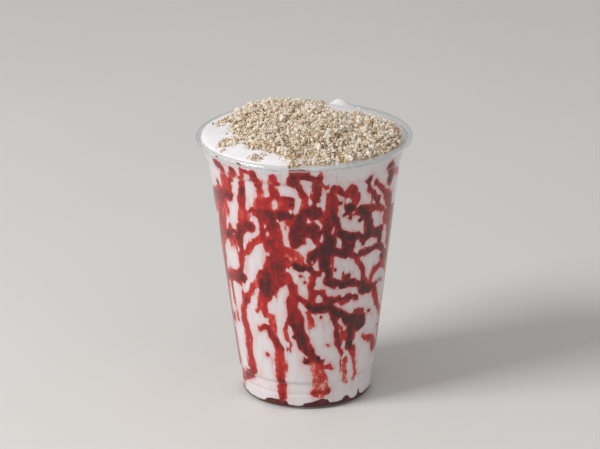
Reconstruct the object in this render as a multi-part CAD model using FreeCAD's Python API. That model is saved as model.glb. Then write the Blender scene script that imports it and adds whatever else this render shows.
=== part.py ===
"""Strawberry milkshake in its clear takeaway cup. Millimetres, +Z up.

The origin is the middle of the foot, on the surface that the cup stands on. The milkshake fills
the cup from a puddle of strawberry sauce in the foot up to a dome of cream that stands above the
rim, and a heap of biscuit crumbs lies on the dome. The front is -Y.
"""

import FreeCAD, Part
import math
import os

from FreeCAD import Vector

# ---- Cup: one clear thermoformed shell of even thickness, with a rolled lip ----
CUP_HEIGHT = 123.0
RIM_RADIUS = 49.0  # outside of the rolled lip
CURL_RADIUS = 1.5  # outside of the lip's rolled section
CURL_TURN = 295.0  # degrees that the lip rolls over and back under
WALL = 0.5
COLLAR_HEIGHT = 9.8  # band from the shoulder to the top of the lip
COLLAR_FLARE = 2.1  # how far the collar widens up to the lip
LIP_NECK = 1.8  # upright stretch of the collar under the lip
SHOULDER_STEP = 0.8  # how far the wall draws in under the collar
SHOULDER_DROP = 1.0
STACK_HEIGHT = 13.8  # top of the stacking ledge, above the foot
STACK_DROP = 1.4
STACK_STEP = 1.0  # how far the ledge stands out over the foot band
FOOT_RADIUS = 29.7  # outside of the foot, at the surface it stands on
FOOT_TAPER = 0.7  # how far the foot band widens up to the ledge
FOOT_CORNER = 2.6
GROOVE_HEIGHT = 7.4
GROOVE_DEPTH = 0.35
GROOVE_HALF_WIDTH = 0.7
PUNT_MARGIN = 5.3  # standing ring around the raised middle of the base
PUNT_RISE = 2.4
PUNT_SLOPE = 1.4
SMALL_BEND = 0.7  # outside bend radius at the ledge, the shoulder and the groove
NECK_BEND = 4.0

# ---- Sauce puddle in the foot, with the milkshake's folds hanging into it ----
PUDDLE_LEVEL = 4.4
FOLD_COUNT = 9
FOLD_RADIUS = 5.6
FOLD_UNEVEN = 0.2  # how much the folds differ, as a share of their radius
FOLD_INSET = 0.55  # from the foot's outside in to a fold's centre, as a share of its radius
FOLD_LIFT = 0.45  # from the sauce up to a fold's centre, as a share of its radius
FOLD_SHIFT = 0.3  # how far a fold strays from even spacing, as a share of the spacing

# ---- Cream dome, above the rim ----
DOME_RISE = 6.6
DOME_EXPONENT = 3.4
DOME_LEAN = 0.016  # rise per mm towards the left, where the cream stands highest
EDGE_BELOW_RIM = 0.4  # how far under the top of the lip the cream meets it
WAVE = 0.25  # soft unevenness of the cream
PEAK_AT = (17.5, 35.0)  # soft peak at the back
PEAK_SPREAD = 4.5
PEAK_HEIGHT = 2.4

# ---- Crumb heap on the dome ----
HEAP_EDGE = 1.1  # thickness of the crumb layer at its outline
HEAP_ROUGHNESS = 0.35
# Mounds of crumbs: (x, y, spread along x, spread along y, height)
HEAP_MOUNDS = [
    (-7.0, -4.0, 25.0, 33.0, 2.2),
    (-8.0, 19.0, 17.0, 11.0, 1.7),
    (31.0, -12.0, 12.0, 17.0, 0.8),
]
# Patches that the crumbs cover, seen from above: (x, y, radius along x, radius along y)
HEAP_PATCHES = [
    (-10.0, 1.0, 24.5, 35.0),
    (22.0, -12.0, 24.0, 25.0),
    (12.0, -28.0, 24.0, 20.0),
]
PATCH_WAVE = 0.04
PATCH_POINTS = 28

SURFACE_MARGIN = 11.0  # how far the surfaces that shape the dome and the heap pass the lip
SURFACE_CELLS = 40

curl_centre = (RIM_RADIUS - CURL_RADIUS, CUP_HEIGHT - CURL_RADIUS)
collar_radius = curl_centre[0] - CURL_RADIUS + WALL  # outside of the collar, inside of the roll
dome_radius = curl_centre[0] - CURL_RADIUS


# ---------------------------------------------------------------- outline helpers


def point(rz):
    """A (radius, height) pair as a point in the XZ plane."""
    return Vector(rz[0], 0.0, rz[1])


def offset_corners(corners, distance):
    """The corners of a path moved to its left by distance. Each corner is (radius, height, bend)."""
    lines = []
    for (r0, z0, _), (r1, z1, _) in zip(corners, corners[1:]):
        length = math.hypot(r1 - r0, z1 - z0)
        left = (-(z1 - z0) / length * distance, (r1 - r0) / length * distance)
        lines.append(((r0 + left[0], z0 + left[1]), (r1 - r0, z1 - z0), left))
    moved = [(*lines[0][0], corners[0][2])]
    for before, after, corner in zip(lines, lines[1:], corners[1:]):
        (ar, az), (ur, uz), _ = before
        (br, bz), (vr, vz), _ = after
        turn = ur * vz - uz * vr
        along = ((br - ar) * vz - (bz - az) * vr) / turn
        bend = corner[2] - math.copysign(distance, turn)
        moved.append((ar + along * ur, az + along * uz, bend))
    end = corners[-1]
    moved.append((end[0] + lines[-1][2][0], end[1] + lines[-1][2][1], end[2]))
    return moved


def rounded_path(corners):
    """Edges along the corners, each inner corner rounded by an arc of its own bend radius."""
    edges = []
    at = point(corners[0])
    for before, corner, after in zip(corners, corners[1:], corners[2:]):
        here = point(corner)
        back = (point(before) - here).normalize()
        ahead = (point(after) - here).normalize()
        half = back.getAngle(ahead) / 2
        reach = corner[2] / math.tan(half)
        start, end = here + back * reach, here + ahead * reach
        middle = (back + ahead).normalize()
        crown = here + middle * (corner[2] / math.sin(half) - corner[2])
        edges.append(Part.LineSegment(at, start).toShape())
        edges.append(Part.Arc(start, crown, end).toShape())
        at = end
    edges.append(Part.LineSegment(at, point(corners[-1])).toShape())
    return edges


def curl_point(radius, turned):
    """A point on the rolled lip's section, turned that many degrees from the collar over the top."""
    angle = math.radians(180.0 - turned)
    return Vector(
        curl_centre[0] + radius * math.cos(angle), 0.0, curl_centre[1] + radius * math.sin(angle)
    )


def curl_arc(radius, start, end):
    """An arc of the rolled lip's section from start to end degrees."""
    middle = curl_point(radius, (start + end) / 2)
    return Part.Arc(curl_point(radius, start), middle, curl_point(radius, end)).toShape()


def join(start, end):
    """A straight edge between two points."""
    return Part.LineSegment(start, end).toShape()


def revolved(edges):
    """The solid swept by a closed outline turning once about the Z axis."""
    face = Part.Face(Part.Wire(Part.__sortEdges__(edges)))
    return face.revolve(Vector(0, 0, 0), Vector(0, 0, 1), 360.0)


# ---------------------------------------------------------------- cup


def foot_radius_at(height):
    """Outside radius of the foot band, which widens evenly up to the stacking ledge."""
    return FOOT_RADIUS + FOOT_TAPER * height / (STACK_HEIGHT - STACK_DROP)


def outside_corners():
    """Corners of the cup's outside from the middle of the base up to the rolled lip."""
    groove = foot_radius_at(GROOVE_HEIGHT) - GROOVE_DEPTH
    low, high = GROOVE_HEIGHT - GROOVE_HALF_WIDTH, GROOVE_HEIGHT + GROOVE_HALF_WIDTH
    band_top = FOOT_RADIUS + FOOT_TAPER
    punt = FOOT_RADIUS - PUNT_MARGIN
    shoulder = CUP_HEIGHT - COLLAR_HEIGHT
    collar_foot = collar_radius - COLLAR_FLARE
    return [
        (0.0, PUNT_RISE, 0.0),
        (punt, PUNT_RISE, SMALL_BEND),
        (punt + PUNT_SLOPE, 0.0, SMALL_BEND),
        (FOOT_RADIUS, 0.0, FOOT_CORNER),
        (foot_radius_at(low), low, SMALL_BEND),
        (groove, GROOVE_HEIGHT, SMALL_BEND),
        (foot_radius_at(high), high, SMALL_BEND),
        (band_top, STACK_HEIGHT - STACK_DROP, SMALL_BEND),
        (band_top + STACK_STEP, STACK_HEIGHT, SMALL_BEND),
        (collar_foot - SHOULDER_STEP, shoulder - SHOULDER_DROP, SMALL_BEND),
        (collar_foot, shoulder, SMALL_BEND),
        (collar_radius, curl_centre[1] - LIP_NECK, NECK_BEND),
        (collar_radius, curl_centre[1], 0.0),
    ]


def cup():
    """The clear shell: base, foot, ledge, tapered wall, shoulder, collar and rolled lip."""
    outside = outside_corners()
    inside = offset_corners(outside, WALL)
    edges = rounded_path(outside) + rounded_path(inside)
    edges.append(join(point(outside[0]), point(inside[0])))
    edges.append(curl_arc(CURL_RADIUS, 0.0, CURL_TURN))
    edges.append(curl_arc(CURL_RADIUS - WALL, 0.0, CURL_TURN))
    edges.append(join(curl_point(CURL_RADIUS, CURL_TURN), curl_point(CURL_RADIUS - WALL, CURL_TURN)))
    return revolved(edges)


def inside_of_cup():
    """Everything that the shell could hold, up the inside of the lip and well above it."""
    inside = offset_corners(outside_corners(), WALL)
    over_lip = 85.0  # degrees over the lip, short of its top
    lip = curl_point(CURL_RADIUS, over_lip)
    top = CUP_HEIGHT + 2 * DOME_RISE
    edges = rounded_path(inside)
    edges.append(curl_arc(CURL_RADIUS, 0.0, over_lip))
    edges.append(join(lip, Vector(lip.x, 0.0, top)))
    edges.append(join(Vector(lip.x, 0.0, top), Vector(0.0, 0.0, top)))
    edges.append(join(Vector(0.0, 0.0, top), point(inside[0])))
    return revolved(edges)


# ---------------------------------------------------------------- sauce puddle


def sauce_puddle(inside):
    """Sauce that ran down into the foot. The milkshake's folds hang into it beside the wall."""
    puddle = inside.common(Part.makeCylinder(RIM_RADIUS, PUDDLE_LEVEL))
    for fold in range(FOLD_COUNT):
        uneven = math.sin(2.4 * fold + 0.7)
        angle = 2 * math.pi * (fold + FOLD_SHIFT * uneven) / FOLD_COUNT
        radius = FOLD_RADIUS * (1.0 + FOLD_UNEVEN * uneven)
        out = FOOT_RADIUS - FOLD_INSET * radius
        height = PUDDLE_LEVEL + FOLD_LIFT * radius
        centre = Vector(out * math.sin(angle), -out * math.cos(angle), height)
        puddle = puddle.cut(Part.makeSphere(radius, centre))
    return puddle


# ---------------------------------------------------------------- dome and heap


def mound(x, y, at, spread, height):
    """A smooth hill on a plan, with a broad top."""
    away = ((x - at[0]) / spread[0]) ** 2 + ((y - at[1]) / spread[1]) ** 2
    return height * math.exp(-(away**2))


def dome_height(x, y):
    """Height of the cream's surface: full in the middle, rounded down to the lip, softly uneven."""
    share = min(math.hypot(x, y) / dome_radius, 1.25)
    rise = DOME_RISE * (1.0 - share**DOME_EXPONENT) - DOME_LEAN * x
    waves = WAVE * (math.sin(x / 7.0 + 0.8) * math.cos(y / 9.0) + math.sin((x + y) / 5.0))
    peak = mound(x, y, PEAK_AT, (PEAK_SPREAD, PEAK_SPREAD), PEAK_HEIGHT)
    return CUP_HEIGHT - EDGE_BELOW_RIM + rise + waves * (1.0 - min(share, 1.0) ** 2) + peak


def heap_height(x, y):
    """Height of the crumbs' uneven top."""
    thick = HEAP_EDGE + HEAP_ROUGHNESS * math.sin(x / 2.3 + 1.0) * math.sin(y / 2.7)
    for cx, cy, rx, ry, height in HEAP_MOUNDS:
        thick += mound(x, y, (cx, cy), (rx, ry), height)
    return dome_height(x, y) + thick


def space_above(height):
    """The solid above a surface whose height is a function of x and y."""
    half = RIM_RADIUS + SURFACE_MARGIN
    places = [half * (2.0 * i / SURFACE_CELLS - 1.0) for i in range(SURFACE_CELLS + 1)]
    surface = Part.BSplineSurface()
    surface.interpolate([[Vector(x, y, height(x, y)) for y in places] for x in places])
    return surface.toShape().extrude(Vector(0, 0, CUP_HEIGHT))


def patch_column(x, y, rx, ry, phase):
    """An upright column with the wavy outline of one patch of crumbs."""
    outline = []
    for i in range(PATCH_POINTS):
        angle = 2 * math.pi * i / PATCH_POINTS
        wave = 1.0 + PATCH_WAVE * (math.sin(5 * angle + phase) + 0.6 * math.sin(8 * angle + 2 * phase))
        outline.append(Vector(x + rx * wave * math.cos(angle), y + ry * wave * math.sin(angle), 0.0))
    curve = Part.BSplineCurve()
    curve.interpolate(outline, PeriodicFlag=True)
    floor = CUP_HEIGHT - 2 * COLLAR_HEIGHT
    face = Part.Face(Part.Wire(curve.toShape()))
    face.translate(Vector(0, 0, floor))
    return face.extrude(Vector(0, 0, 3 * COLLAR_HEIGHT + 2 * DOME_RISE))


def crumb_heap(inside, above_dome):
    """One solid out to the crumbs' uneven outline and top, seated on the cream."""
    plan = None
    for phase, patch in enumerate(HEAP_PATCHES):
        column = patch_column(*patch, 1.3 * phase)
        plan = column if plan is None else plan.fuse(column)
    return plan.cut(space_above(heap_height)).common(above_dome).common(inside)


def milkshake(inside, above_dome, puddle):
    """The drink from the puddle up to the cream's dome."""
    return inside.cut(above_dome).cut(puddle)


def save(name, shape):
    """Writes one node, after checking that it is one sound solid."""
    solid = shape.Solids[0] if len(shape.Solids) == 1 else shape
    sound = solid.isValid() and len(shape.Solids) == 1
    print(f"{name}: {len(shape.Solids)} solid, {solid.Volume:.0f} mm3, sound {sound}")
    solid.exportStep(f"parts/{name}.step")


os.makedirs("parts", exist_ok=True)
inside = inside_of_cup()
above_dome = space_above(dome_height)
puddle = sauce_puddle(inside)
save("cup", cup())
save("sauce_puddle", puddle)
save("milkshake", milkshake(inside, above_dome, puddle))
save("crumb_heap", crumb_heap(inside, above_dome))
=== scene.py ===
"""Strawberry milkshake in a clear takeaway cup, topped with biscuit crumbs. Sizes are in millimetres, and MM
turns them into metres. The front of the cup is along -Y, and its foot stands on the floor."""

import math
import random

import bmesh
import bpy
import numpy as np
from mathutils import Matrix, Vector, noise
from mathutils.bvhtree import BVHTree


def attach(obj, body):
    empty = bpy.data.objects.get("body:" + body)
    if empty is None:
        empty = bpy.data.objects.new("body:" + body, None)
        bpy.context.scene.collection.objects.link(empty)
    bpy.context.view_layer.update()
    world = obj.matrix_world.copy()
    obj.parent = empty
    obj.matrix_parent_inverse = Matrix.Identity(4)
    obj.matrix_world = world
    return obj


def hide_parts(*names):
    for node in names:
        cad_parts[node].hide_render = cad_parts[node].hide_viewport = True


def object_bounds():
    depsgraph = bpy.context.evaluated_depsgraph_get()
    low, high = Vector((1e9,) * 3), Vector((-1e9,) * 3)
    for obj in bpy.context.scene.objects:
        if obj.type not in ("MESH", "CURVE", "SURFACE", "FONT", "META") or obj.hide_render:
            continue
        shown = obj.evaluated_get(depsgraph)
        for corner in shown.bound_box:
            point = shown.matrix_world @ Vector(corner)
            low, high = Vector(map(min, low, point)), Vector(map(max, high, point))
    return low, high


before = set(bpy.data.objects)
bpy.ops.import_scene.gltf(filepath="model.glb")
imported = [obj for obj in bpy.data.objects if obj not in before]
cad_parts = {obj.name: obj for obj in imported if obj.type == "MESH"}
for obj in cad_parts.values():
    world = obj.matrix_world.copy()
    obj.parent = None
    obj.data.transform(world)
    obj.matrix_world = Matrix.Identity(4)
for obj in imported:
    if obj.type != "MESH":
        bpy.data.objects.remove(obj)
cad_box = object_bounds()
MM = 0.001

# ---------------------------------------------------------------- the cup
# A clear plastic takeaway cup, thermoformed in one piece from thin sheet, with a rolled lip and a raised
# base. It is turned here from the middle line of its wall, on finer steps than the frame's, so that it
# shines evenly.
WALL = 0.5
CUP_COLUMNS = 240
# The middle line of the wall: radius, height, and how far each corner is rounded.
CUP_LINE = [
    (0, 2.65, 0),
    (24.55, 2.65, 0.7),
    (25.95, 0.25, 0.9),
    (29.45, 0.25, 2.35),
    (29.83, 6.7, 0.7),
    (29.52, 7.4, 0.5),
    (29.91, 8.1, 0.7),
    (30.15, 12.4, 0.7),
    (31.15, 13.8, 0.7),
    (43.35, 112.2, 0.7),
    (44.15, 113.2, 0.7),
    (46.25, 119.7, 4.0),
    (46.25, 121.5, 0),
]
CURL_CENTRE = (47.5, 121.5)
CURL_RADIUS = 1.25
CURL_TURN = 295


def paint(code):
    """The linear colour for an sRGB hex code."""
    parts = [int(code[k : k + 2], 16) / 255 for k in (0, 2, 4)]
    flat = [c / 12.92 if c <= 0.04045 else ((c + 0.055) / 1.055) ** 2.4 for c in parts]
    return (*flat, 1.0)


def new_finish(name):
    """An empty material and its tree."""
    made = bpy.data.materials.new(name)
    made.use_nodes = True
    made.node_tree.nodes.clear()
    return made, made.node_tree


def add(tree, kind, inputs=None, stops=None, **settings):
    """Adds one node: its settings, a ramp's stops, and its inputs, each a value or another node's output."""
    made = tree.nodes.new(kind)
    for name, value in settings.items():
        setattr(made, name, value)
    if stops:
        band = made.color_ramp.elements
        while len(band) < len(stops):
            band.new(0.5)
        for stop, (place, code) in zip(band, stops):
            stop.position = place
            stop.color = paint(code)
    for name, value in (inputs or {}).items():
        if isinstance(value, bpy.types.NodeSocket):
            tree.links.new(value, made.inputs[name])
        else:
            made.inputs[name].default_value = value
    return made


# Clear plastic: hard gloss outside, a touch of haze, and faint slow waves where the sheet was drawn down.
clear_plastic, tree = new_finish("clear plastic")
where = add(tree, "ShaderNodeTexCoord").outputs["Object"]
waves = add(tree, "ShaderNodeTexNoise", {"Vector": where, "Scale": 70, "Detail": 2})
haze = add(tree, "ShaderNodeTexNoise", {"Vector": where, "Scale": 400, "Detail": 3})
gloss = add(
    tree,
    "ShaderNodeMapRange",
    {"Value": haze.outputs["Fac"], "From Min": 0.3, "From Max": 0.7, "To Min": 0.0, "To Max": 0.03},
)
skin = add(tree, "ShaderNodeBump", {"Height": waves.outputs["Fac"], "Strength": 0.12, "Distance": 0.2 * MM})
plastic = add(
    tree,
    "ShaderNodeBsdfPrincipled",
    {
        "Base Color": paint("fbfcfc"),
        "Roughness": gloss.outputs["Result"],
        "IOR": 1.49,
        "Transmission Weight": 1.0,
        "Normal": skin.outputs["Normal"],
    },
)
ray = add(tree, "ShaderNodeLightPath")
passing = add(
    tree,
    "ShaderNodeMath",
    {0: ray.outputs["Is Shadow Ray"], 1: ray.outputs["Is Diffuse Ray"]},
    operation="MAXIMUM",
)
see_through = add(tree, "ShaderNodeBsdfTransparent", {"Color": paint("f6f8f8")})
blend = add(
    tree,
    "ShaderNodeMixShader",
    {0: passing.outputs[0], 1: plastic.outputs["BSDF"], 2: see_through.outputs["BSDF"]},
)
add(tree, "ShaderNodeOutputMaterial", {"Surface": blend.outputs["Shader"]})


def rounded(line):
    """Points along a line whose corners are rounded, with even steps on its straights."""
    points = [Vector(line[0][:2])]
    for before, corner, after in zip(line, line[1:], line[2:]):
        here = Vector(corner[:2])
        back, on = (Vector(before[:2]) - here).normalized(), (Vector(after[:2]) - here).normalized()
        cut = corner[2] * math.tan((math.pi - back.angle(on)) / 2)
        start, end = here + back * cut, here + on * cut
        count = max(int((start - points[-1]).length / 3), 1)
        points += [points[-1].lerp(start, (k + 1) / count) for k in range(count)]
        points += [start.lerp(here, k / 5).lerp(here.lerp(end, k / 5), k / 5) for k in range(1, 6)]
    return [*points, Vector(line[-1][:2])]


def turned(profile, columns):
    """Points and faces of a closed shape turned from a profile that starts and ends on the axis."""
    angle = np.arange(columns) * math.tau / columns
    rings = [
        np.stack([radius * np.sin(angle), -radius * np.cos(angle), height + 0 * angle], -1) * MM
        for radius, height in profile[1:-1]
    ]
    ends = [[(0, 0, height * MM)] for radius, height in (profile[0], profile[-1])]
    return np.concatenate([ends[0], *rings, ends[1]]), lathe_faces(rings, columns)


def lathe_faces(rings, columns):
    """Faces of a closed turned shape, whose first and last points are the middles of its two ends."""
    faces = []
    last = 1 + len(rings) * columns
    for k in range(columns):
        after = (k + 1) % columns
        faces.append((0, 1 + k, 1 + after))
        faces.append((last, last - columns + after, last - columns + k))
        for row in range(len(rings) - 1):
            start = 1 + row * columns
            faces.append((start + k, start + columns + k, start + columns + after, start + after))
    return faces


def new_piece(name, points, faces, finish, values=None, smooth=True):
    """A closed mesh piece with its faces outward, its finish, and its named values for each point."""
    mesh = bpy.data.meshes.new(name)
    mesh.from_pydata([tuple(p) for p in points], [], faces)
    work = bmesh.new()
    work.from_mesh(mesh)
    bmesh.ops.recalc_face_normals(work, faces=work.faces)
    work.to_mesh(mesh)
    work.free()
    for title, numbers in (values or {}).items():
        layer = mesh.attributes.new(title, "FLOAT", "POINT")
        layer.data.foreach_set("value", np.asarray(numbers, dtype=np.float32))
    mesh.polygons.foreach_set("use_smooth", [smooth] * len(mesh.polygons))
    mesh.materials.append(finish)
    made = bpy.data.objects.new(name, mesh)
    bpy.context.collection.objects.link(made)
    return made


middle_line = rounded(CUP_LINE)
for step in range(1, 41):
    angle = math.pi - math.radians(CURL_TURN) * step / 40
    middle_line.append(Vector(CURL_CENTRE) + CURL_RADIUS * Vector((math.cos(angle), math.sin(angle))))
outside, inside = [], []
for k, here in enumerate(middle_line):
    way = middle_line[min(k + 1, len(middle_line) - 1)] - middle_line[max(k - 1, 0)]
    side = Vector((way.y, -way.x)).normalized() * WALL / 2
    outside.append(here + side)
    inside.append(here - side)
outside[0].x = inside[0].x = 0
points, faces = turned(outside + inside[::-1], CUP_COLUMNS)
cup = new_piece("cup_shell", points, faces, clear_plastic)
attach(cup, "root")
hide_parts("cup")

# ---------------------------------------------------------------- the sauce on the wall
# Strawberry sauce squeezed round the inside of the cup before it is filled. It runs down in strings and
# pools, and is a thin film between the wall and the shake: coral where it is thin, nearly black where thick.

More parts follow.
